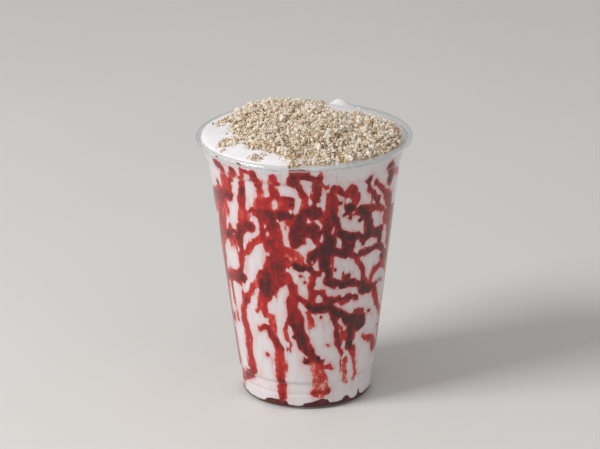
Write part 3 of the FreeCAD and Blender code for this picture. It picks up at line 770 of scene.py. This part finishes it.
def ring_at(radius, levels):
    """A ring of points at this radius and these heights."""
    angle = np.radians(turns)
    return np.stack([radius * np.sin(angle), -radius * np.cos(angle), levels + 0 * angle], -1) * MM


rings = [ring_at(radius, level) for radius, level in POOL_UNDER]
rings += [wall_point(turns, 1.1 + (edge - 1.1) * step / 6, POOL_REACH) for step in range(7)]
rings += [wall_point(turns, edge + 0.15, -0.3), ring_at(26.5, np.maximum(edge, 3.5)), ring_at(25, POOL_LEVEL)]
rings += [ring_at(12, POOL_LEVEL)]
points = np.concatenate([[(0, 0, 2.8 * MM)], *rings, [(0, 0, POOL_LEVEL * MM)]])
pool = new_piece(
    "sauce_pool", points, lathe_faces(rings, POOL_COLUMNS), sauce, {"thickness": np.full(len(points), 0.94)}
)
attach(pool, "root")
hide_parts("sauce_puddle")

# ---------------------------------------------------------------- the milkshake
# Thick vanilla shake that fills the cup and stands in a low dome over it. It touches the wall everywhere,
# picks up a little pink beside the sauce, and its top is smooth, with soft folds from pouring.
SHAKE_COLUMNS = 400
SHAKE_STEP = 0.85
TOP_RINGS = 60
REACH = 0.14
SHAKE_FLOOR = 4.2
BRIM_RADIUS = 45.7
WALL_TOP = 119  # where even steps up the wall end, and steps fitted to the brim begin
BRIM_ROWS = 5
BLEED = 3.2  # how far sauce bleeds into the shake beside it
CUP_STEPS = [6.7, 7.1, 7.4, 7.7, 8.1, 12.1, 12.5, 13.1, 13.7, 14.1, 112.0, 112.4, 113.0, 113.4]
shake_top = surface_of("milkshake")[0]


def top_level(x, y):
    """Height of the shake's top in the frame, over this place."""
    reach = math.hypot(x, y)
    if reach > BRIM_RADIUS:
        x, y = x * BRIM_RADIUS / reach, y * BRIM_RADIUS / reach
    hit = shake_top.ray_cast(Vector((x * MM, y * MM, 0.3)), Vector((0, 0, -1)))[0]
    return hit.z / MM


turns = np.arange(SHAKE_COLUMNS) * 360 / SHAKE_COLUMNS - 180
brim = [top_level(BRIM_RADIUS * math.sin(t), -BRIM_RADIUS * math.cos(t)) for t in np.radians(turns)]
brim = np.array(brim)
levels = np.unique(np.concatenate([np.arange(1.3, WALL_TOP, SHAKE_STEP), CUP_STEPS]))
rings = [ring_at(26.5, SHAKE_FLOOR), *(wall_point(turns, level, REACH) for level in levels)]
for step in range(BRIM_ROWS):
    level = WALL_TOP + (brim - 0.5 - WALL_TOP) * step / (BRIM_ROWS - 1)
    rings.append(wall_point(turns, level, REACH))
shake_depth, shake_tone = flow(turns, levels)
stain = 0.14 + 0.86 * np.clip(1 + shake_depth / BLEED, 0, 1) ** 2 * (0.5 + 0.5 * shake_tone)
wall_rows = len(levels)
for step in range(TOP_RINGS):
    radius = 45.95 * (1 - step / TOP_RINGS)
    angle = np.radians(turns)
    x, y = radius * np.sin(angle), -radius * np.cos(angle)
    level = [top_level(*p) - 0.35 * max(0.0, radius - 45.2) for p in zip(x, y)]
    rings.append(np.stack([x, y, level], -1) * MM)
points = np.concatenate([[(0, 0, SHAKE_FLOOR * MM)], *rings, [(0, 0, top_level(0, 0) * MM)]])
first_on_top = 1 + (1 + wall_rows + BRIM_ROWS) * SHAKE_COLUMNS
dimples = ruffle(points[first_on_top:], 7, 21)[:, 2]
points[first_on_top:, 2] += 0.3 * MM * dimples
pink = np.zeros(len(points))
pink[1 + SHAKE_COLUMNS : 1 + (1 + wall_rows) * SHAKE_COLUMNS] = stain.ravel()

# Shake: matt cream that light goes a little way into, with tiny air bubbles, and pink where sauce has bled.
shake_finish, tree = new_finish("vanilla milkshake")
where = add(tree, "ShaderNodeTexCoord").outputs["Object"]
bleed = add(tree, "ShaderNodeAttribute", attribute_name="pink").outputs["Fac"]
clouds = add(tree, "ShaderNodeTexNoise", {"Vector": where, "Scale": 160, "Detail": 4, "Roughness": 0.6})
patchy = add(
    tree,
    "ShaderNodeMapRange",
    {"Value": clouds.outputs["Fac"], "From Min": 0.35, "From Max": 0.65, "To Min": 0.35, "To Max": 1.0},
)
amount = add(
    tree, "ShaderNodeMath", {0: bleed, 1: patchy.outputs["Result"]}, operation="MULTIPLY", use_clamp=True
)
cream = add(
    tree,
    "ShaderNodeValToRGB",
    {"Fac": clouds.outputs["Fac"]},
    stops=[(0.3, "e2dddf"), (0.7, "eeebed")],
)
blushed = add(
    tree,
    "ShaderNodeMix",
    {"Factor": amount.outputs[0], 6: cream.outputs["Color"], 7: paint("d8827c")},
    data_type="RGBA",
)
bubbles = add(tree, "ShaderNodeTexVoronoi", {"Vector": where, "Scale": 600, "Randomness": 1.0})
pits = add(
    tree,
    "ShaderNodeMapRange",
    {"Value": bubbles.outputs["Distance"], "From Min": 0.05, "From Max": 0.25, "To Min": 0.0, "To Max": 1.0},
)
soft = add(tree, "ShaderNodeBump", {"Height": pits.outputs["Result"], "Strength": 0.15, "Distance": 0.1 * MM})
swell = add(
    tree,
    "ShaderNodeBump",
    {
        "Height": clouds.outputs["Fac"],
        "Strength": 0.3,
        "Distance": 0.5 * MM,
        "Normal": soft.outputs["Normal"],
    },
)
body = add(
    tree,
    "ShaderNodeBsdfPrincipled",
    {
        "Base Color": blushed.outputs[2],
        "Roughness": 0.42,
        "IOR": 1.4,
        "Subsurface Weight": 0.25,
        "Subsurface Radius": (1.0, 0.7, 0.55),
        "Subsurface Scale": 1.6 * MM,
        "Normal": swell.outputs["Normal"],
    },
)
add(tree, "ShaderNodeOutputMaterial", {"Surface": body.outputs["BSDF"]})
shake = new_piece("milkshake_body", points, lathe_faces(rings, SHAKE_COLUMNS), shake_finish, {"pink": pink})
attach(shake, "root")
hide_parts("milkshake")

# ---------------------------------------------------------------- the crumbs
# Plain biscuit crushed over the shake: a packed bed of fine meal, set darker than the crumbs, partly its own
# colour and partly painted shade for the gaps between crumbs, and on it loose fine crumbs, coarse grains and
# a few lumps, with odd crumbs that have rolled on to the bare cream and over the lip.

# Outline of the heap seen from above, in order round it.
HEAP_OUTLINE = [
    (-33, 10),
    (-33, 0),
    (-32, -8),
    (-28, -22),
    (-24, -31),
    (-19, -35),
    (-11, -39),
    (-7, -45),
    (0, -47),
    (10, -46),
    (22, -41),
    (35, -33),
    (43, -18),
    (44, -7),
    (42, 4),
    (37, 9),
    (32, 10.5),
    (22, 12),
    (14, 14),
    (9, 19),
    (9, 28),
    (4, 35),
    (-8, 37),
    (-20, 34),
    (-29, 24),
]
# Small patches away from the heap: middle, and half width.
LOOSE_PATCHES = [(-34, -21, 4.4), (-34, 8, 4.2), (-22, -40, 2.6), (-37.5, 1, 1.0), (-9.6, 10, 0.5)]
GRID = 0.9
heap_top = surface_of("crumb_heap")[0]
steps = np.arange(-46.8, 46.9, GRID)
x, y = np.meshgrid(steps, steps)


def outline_depth(x, y):
    """Distance inside the heap's outline, less than 0 outside it."""
    nearest = np.full(x.shape, 99.0)
    inside = np.zeros(x.shape, dtype=bool)
    for (ax, ay), (bx, by) in zip(HEAP_OUTLINE, HEAP_OUTLINE[1:] + HEAP_OUTLINE[:1]):
        square = (bx - ax) ** 2 + (by - ay) ** 2
        along = np.clip(((x - ax) * (bx - ax) + (y - ay) * (by - ay)) / square, 0, 1)
        nearest = np.minimum(nearest, np.hypot(x - ax - along * (bx - ax), y - ay - along * (by - ay)))
        crosses = (ay > y) != (by > y)
        inside ^= crosses & (x < (bx - ax) * (y - ay) / (by - ay + 1e-9) + ax)
    return np.where(inside, nearest, -nearest)


flat = np.stack([x, y, 0 * x], -1).reshape(-1, 3) * MM
jog = (2.2 * ruffle(flat, 9, 2) + 1.5 * ruffle(flat, 3, 4)).reshape(*x.shape, 3)
heap_depth = outline_depth(x + jog[..., 0], y + jog[..., 1])
for px, py, half in LOOSE_PATCHES:
    heap_depth = np.maximum(heap_depth, half - np.hypot(x + jog[..., 0] - px, y + jog[..., 1] - py))
heap_depth = np.minimum(heap_depth, 45.6 - np.hypot(x, y))


def heap_level(x, y, depth):
    """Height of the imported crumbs, or of the bare cream, over this place."""
    base = top_level(x, y)
    hit = heap_top.ray_cast(Vector((x * MM, y * MM, 0.3)), Vector((0, 0, -1)))[0]
    thick = max(hit.z / MM - base, 0.6) if hit else 0.6
    share = min(max((depth + 0.5) / 4.0, 0.0), 1.0)
    ledge = np.clip([(19 - x) / 2.5, (x - 2) / 12, (y + 34) / 5, (3 - y) / 5], 0, 1).prod() * 1.1
    return base + (max(0.74 * thick - 1.1, 0.1) + ledge) * share * (2 - share) - 0.25 * (depth < 0)


bed_level = np.array([heap_level(*p) for p in zip(x.ravel(), y.ravel(), heap_depth.ravel())]).reshape(x.shape)
grit = ruffle(flat, 1.6, 8)[:, 2].reshape(x.shape) * 0.5 + ruffle(flat, 5, 6)[:, 2].reshape(x.shape) * 1.5
bed_level = bed_level + grit * np.clip(heap_depth / 2, 0, 1)

# Crumbs: baked biscuit, dry and matt, from pale cream inside to golden brown crust, each crumb its own shade.
crumb_finish, tree = new_finish("crushed biscuit")
where = add(tree, "ShaderNodeTexCoord").outputs["Object"]
shade = add(tree, "ShaderNodeAttribute", attribute_name="shade").outputs["Fac"]
speck = add(tree, "ShaderNodeTexNoise", {"Vector": where, "Scale": 1500, "Detail": 3, "Roughness": 0.7})
mottle = add(
    tree,
    "ShaderNodeMapRange",
    {"Value": speck.outputs["Fac"], "From Min": 0.3, "From Max": 0.7, "To Min": -0.18, "To Max": 0.18},
)
tone = add(tree, "ShaderNodeMath", {0: shade, 1: mottle.outputs["Result"]}, operation="ADD", use_clamp=True)
baked = add(
    tree,
    "ShaderNodeValToRGB",
    {"Fac": tone.outputs[0]},
    stops=[(0.0, "553a22"), (0.08, "8c6840"), (0.26, "b8946a"), (0.5, "d3bfa3"), (1.0, "f0e8dc")],
)
pores = add(tree, "ShaderNodeBump", {"Height": speck.outputs["Fac"], "Strength": 0.6, "Distance": 0.15 * MM})
body = add(
    tree,
    "ShaderNodeBsdfPrincipled",
    {"Base Color": baked.outputs["Color"], "Roughness": 0.9, "Normal": pores.outputs["Normal"]},
)
add(tree, "ShaderNodeOutputMaterial", {"Surface": body.outputs["BSDF"]})

places, faces, edges = cut_out(heap_depth)
px, py = steps[0] + places[:, 0] * GRID, steps[0] + places[:, 1] * GRID
top = np.stack([px, py, at(bed_level, places)], -1) * MM
under = np.stack([px, py, np.array([top_level(*p) for p in zip(px, py)]) - 0.5], -1) * MM
points, faces = skin_between(top, under, faces, edges)
# The bed's meal is set darker than most loose crumbs: partly the meal's own colour, and partly painted shade
# that stands for the shadows in the gaps between the crumbs.
meal_and_gap_shade_tone = 0.34 + 0.3 * ruffle(points, 1.2, 14)[:, 0]
core = new_piece("crumb_bed", points, faces, crumb_finish, {"shade": meal_and_gap_shade_tone}, smooth=False)
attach(core, "root")
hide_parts("crumb_heap")

# The face that loose crumbs are strewn on: all of the top, and a short stretch of the lip at the front.
cover = np.clip((heap_depth + 2.6) / 3.2, 0, 1) ** 2
cover = np.where(np.hypot(x, y) > 45.4, 0, cover)
size = len(steps)
points = np.stack([x, y, bed_level], -1).reshape(-1, 3) * MM
faces = [
    (k, k + 1, k + size + 1, k + size)
    for k in range(size * (size - 1))
    if k % size < size - 1 and cover.ravel()[[k, k + 1, k + size, k + size + 1]].max() > 0
]
LIP_MARKS = 8
LIP_RINGS = ((45.3, 122.9), (46.4, 122.7), (47.5, 123.0), (48.4, 122.6))
lip_turns = np.radians(np.linspace(-9, 0, LIP_MARKS))
for radius, level in LIP_RINGS:
    ring = np.stack([radius * np.sin(lip_turns), -radius * np.cos(lip_turns), level + 0 * lip_turns], -1) * MM
    points = np.concatenate([points, ring])
for row in range(len(LIP_RINGS) - 1):
    for k in range(LIP_MARKS - 1):
        first = size * size + LIP_MARKS * row + k
        faces.append((first, first + LIP_MARKS, first + LIP_MARKS + 1, first + 1))
share = np.concatenate([cover.ravel(), np.full(LIP_MARKS * len(LIP_RINGS), 0.5)])
bed = new_piece("strewing_face", points, faces, crumb_finish, {"cover": share})


def crumb_shapes(name, count, around, up, seed):
    """A collection of rough crumb shapes, each one unit across and of a few dozen faces, for strewing."""
    chance = random.Random(seed)
    group = bpy.data.collections.new(name)
    for k in range(count):
        work = bmesh.new()
        bmesh.ops.create_uvsphere(work, u_segments=around, v_segments=up, radius=0.5)
        for corner in work.verts:
            push = 1 + 0.42 * noise.noise(corner.co * 2.6 + Vector((seed * 3.1, k * 7.7, 0)))
            corner.co = corner.co * push * chance.uniform(0.86, 1.14)
            corner.co.z *= 0.8
        # The sphere tool lists its faces in a different order each run, so they are put in order.
        work.verts.index_update()
        rings = sorted([corner.index for corner in face.verts] for face in work.faces)
        mesh = bpy.data.meshes.new(name)
        mesh.from_pydata([tuple(corner.co) for corner in work.verts], [], rings)
        work.free()
        group.objects.link(bpy.data.objects.new(name, mesh))
    return group


strewing = bpy.data.node_groups.new("strewn crumbs", "GeometryNodeTree")
for title, kind in (
    ("Bed", "Geometry"),
    ("Crumb shapes", "Collection"),
    ("Crumbs on a square metre", "Float"),
    ("Smallest", "Float"),
    ("Largest", "Float"),
    ("Lift", "Float"),
    ("Palest", "Float"),
    ("Darkest", "Float"),
    ("Finish", "Material"),
    ("Seed", "Int"),
):
    strewing.interface.new_socket(title, in_out="INPUT", socket_type="NodeSocket" + kind)
strewing.interface.new_socket("Crumbs", in_out="OUTPUT", socket_type="NodeSocketGeometry")
given = add(strewing, "NodeGroupInput").outputs
covered = add(strewing, "GeometryNodeInputNamedAttribute", {"Name": "cover"}, data_type="FLOAT")
crowd = add(
    strewing,
    "ShaderNodeMath",
    {0: covered.outputs["Attribute"], 1: given["Crumbs on a square metre"]},
    operation="MULTIPLY",
)
dots = add(
    strewing,
    "GeometryNodeDistributePointsOnFaces",
    {"Mesh": given["Bed"], "Density": crowd.outputs[0], "Seed": given["Seed"]},
)
rise = add(
    strewing, "FunctionNodeRandomValue", {2: 0.0, 3: given["Lift"], "Seed": given["Seed"]}, data_type="FLOAT"
)
lift = add(strewing, "ShaderNodeCombineXYZ", {"Z": rise.outputs[1]})
raised = add(
    strewing, "GeometryNodeSetPosition", {"Geometry": dots.outputs["Points"], "Offset": lift.outputs[0]}
)
shapes = add(
    strewing,
    "GeometryNodeCollectionInfo",
    {"Collection": given["Crumb shapes"], "Separate Children": True, "Reset Children": True},
)
spin = add(
    strewing,
    "FunctionNodeRandomValue",
    {0: (0, 0, 0), 1: (math.tau, math.tau, math.tau), "Seed": given["Seed"]},
    data_type="FLOAT_VECTOR",
)
scale = add(
    strewing,
    "FunctionNodeRandomValue",
    {0: given["Smallest"], 1: given["Largest"], "Seed": given["Seed"]},
    data_type="FLOAT_VECTOR",
)
laid = add(
    strewing,
    "GeometryNodeInstanceOnPoints",
    {
        "Points": raised.outputs["Geometry"],
        "Instance": shapes.outputs["Instances"],
        "Pick Instance": True,
        "Rotation": spin.outputs[0],
        "Scale": scale.outputs[0],
    },
)
hue = add(
    strewing,
    "FunctionNodeRandomValue",
    {2: given["Darkest"], 3: given["Palest"], "Seed": given["Seed"]},
    data_type="FLOAT",
)
shaded = add(
    strewing,
    "GeometryNodeStoreNamedAttribute",
    {"Geometry": laid.outputs["Instances"], "Name": "shade", "Value": hue.outputs[1]},
    data_type="FLOAT",
    domain="INSTANCE",
)
real = add(strewing, "GeometryNodeRealizeInstances", {"Geometry": shaded.outputs["Geometry"]})
coated = add(
    strewing, "GeometryNodeSetMaterial", {"Geometry": real.outputs["Geometry"], "Material": given["Finish"]}
)
add(strewing, "NodeGroupOutput", {"Crumbs": coated.outputs["Geometry"]})


def strew(name, **values):
    """Strews one kind of crumb on the bed, and makes it one plain mesh piece."""
    modifier = bed.modifiers.new("strewing", "NODES")
    modifier.node_group = strewing
    for socket in strewing.interface.items_tree:
        key = socket.name.replace(" ", "_").lower()
        if key in values:
            modifier[socket.identifier] = values[key]
    settled = bed.evaluated_get(bpy.context.evaluated_depsgraph_get())
    mesh = bpy.data.meshes.new_from_object(settled)
    bed.modifiers.remove(modifier)
    made = bpy.data.objects.new(name, mesh)
    mesh.name = name
    bpy.context.collection.objects.link(made)
    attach(made, "root")
    return made


per_square_mm = 1e6
strew(
    "fine_crumbs",
    crumb_shapes=crumb_shapes("fine", 6, 5, 3, 1),
    crumbs_on_a_square_metre=1.4 * per_square_mm,
    smallest=0.5 * MM,
    largest=1.2 * MM,
    lift=0.8 * MM,
    palest=1.0,
    darkest=0.12,
    finish=crumb_finish,
    seed=4,
)
strew(
    "coarse_crumbs",
    crumb_shapes=crumb_shapes("coarse", 6, 8, 5, 2),
    crumbs_on_a_square_metre=0.26 * per_square_mm,
    smallest=1.1 * MM,
    largest=2.4 * MM,
    lift=1.1 * MM,
    palest=0.95,
    darkest=0.2,
    finish=crumb_finish,
    seed=7,
)
strew(
    "crumb_lumps",
    crumb_shapes=crumb_shapes("lump", 5, 10, 6, 3),
    crumbs_on_a_square_metre=0.014 * per_square_mm,
    smallest=2.2 * MM,
    largest=4.0 * MM,
    lift=0.6 * MM,
    palest=0.9,
    darkest=0.35,
    finish=crumb_finish,
    seed=11,
)
strew(
    "dark_crumbs",
    crumb_shapes=crumb_shapes("dark", 4, 5, 4, 5),
    crumbs_on_a_square_metre=0.03 * per_square_mm,
    smallest=0.7 * MM,
    largest=1.5 * MM,
    lift=1.3 * MM,
    palest=0.12,
    darkest=0.0,
    finish=crumb_finish,
    seed=15,
)
bpy.data.objects.remove(bed)

# ---------------------------------------------------------------- floor, light and camera
# A plain pale floor, one broad soft lamp to the left of the front and a weak one on the right.
floor_finish, tree = new_finish("pale floor")
where = add(tree, "ShaderNodeTexCoord").outputs["Object"]
cloud = add(tree, "ShaderNodeTexNoise", {"Vector": where, "Scale": 3, "Detail": 2})
stops = [(0.3, "dad8d4"), (0.7, "dfddd9")]
pale = add(tree, "ShaderNodeValToRGB", {"Fac": cloud.outputs["Fac"]}, stops=stops)
body = add(tree, "ShaderNodeBsdfPrincipled", {"Base Color": pale.outputs["Color"], "Roughness": 0.7})
add(tree, "ShaderNodeOutputMaterial", {"Surface": body.outputs["BSDF"]})
FLOOR = 4.0
ground = cad_box[0][2] - 0.0002
mesh = bpy.data.meshes.new("floor")
corners = [(-FLOOR, -FLOOR, ground), (FLOOR, -FLOOR, ground), (FLOOR, FLOOR, ground), (-FLOOR, FLOOR, ground)]
mesh.from_pydata(corners, [], [(0, 1, 2, 3)])
mesh.materials.append(floor_finish)
floor = bpy.data.objects.new("floor", mesh)
bpy.context.collection.objects.link(floor)

middle = Vector((0, 0, (cad_box[0][2] + cad_box[1][2]) / 2))
for name, place, side, watts in (
    ("key lamp", (-1.15, -0.55, 1.05), 0.6, 19.0),
    ("fill lamp", (1.0, -0.9, 0.6), 0.9, 1.6),
):
    lamp = bpy.data.lights.new(name, "AREA")
    lamp.size = side
    lamp.energy = watts
    stand = bpy.data.objects.new(name, lamp)
    stand.location = place
    stand.rotation_euler = (middle - Vector(place)).to_track_quat("-Z", "Y").to_euler()
    bpy.context.collection.objects.link(stand)

world = bpy.data.worlds.new("studio")
world.use_nodes = True
world.node_tree.nodes.clear()
sky = add(world.node_tree, "ShaderNodeBackground", {"Color": paint("ffffff"), "Strength": 0.45})
add(world.node_tree, "ShaderNodeOutputWorld", {"Surface": sky.outputs[0]})
bpy.context.scene.world = world

LENS = 180
DISTANCE = 1369
AIM = (-2.357, 0, 79.078)
RISE, ROLL = 19.735, -0.711  # degrees that the camera looks down, and leans
lens = bpy.data.cameras.new("camera")
lens.lens = LENS
lens.sensor_width = 36
lens.clip_end = 20
camera = bpy.data.objects.new("camera", lens)
rise = math.radians(RISE)
target = Vector(AIM) * MM
place = target + DISTANCE * MM * Vector((0, -math.cos(rise), math.sin(rise)))
tilt = Matrix.Rotation(math.pi / 2 - rise, 4, "X") @ Matrix.Rotation(math.radians(ROLL), 4, "Z")
camera.matrix_world = Matrix.Translation(place) @ tilt
bpy.context.collection.objects.link(camera)
bpy.context.scene.camera = camera
bpy.context.scene.view_settings.view_transform = "Standard"
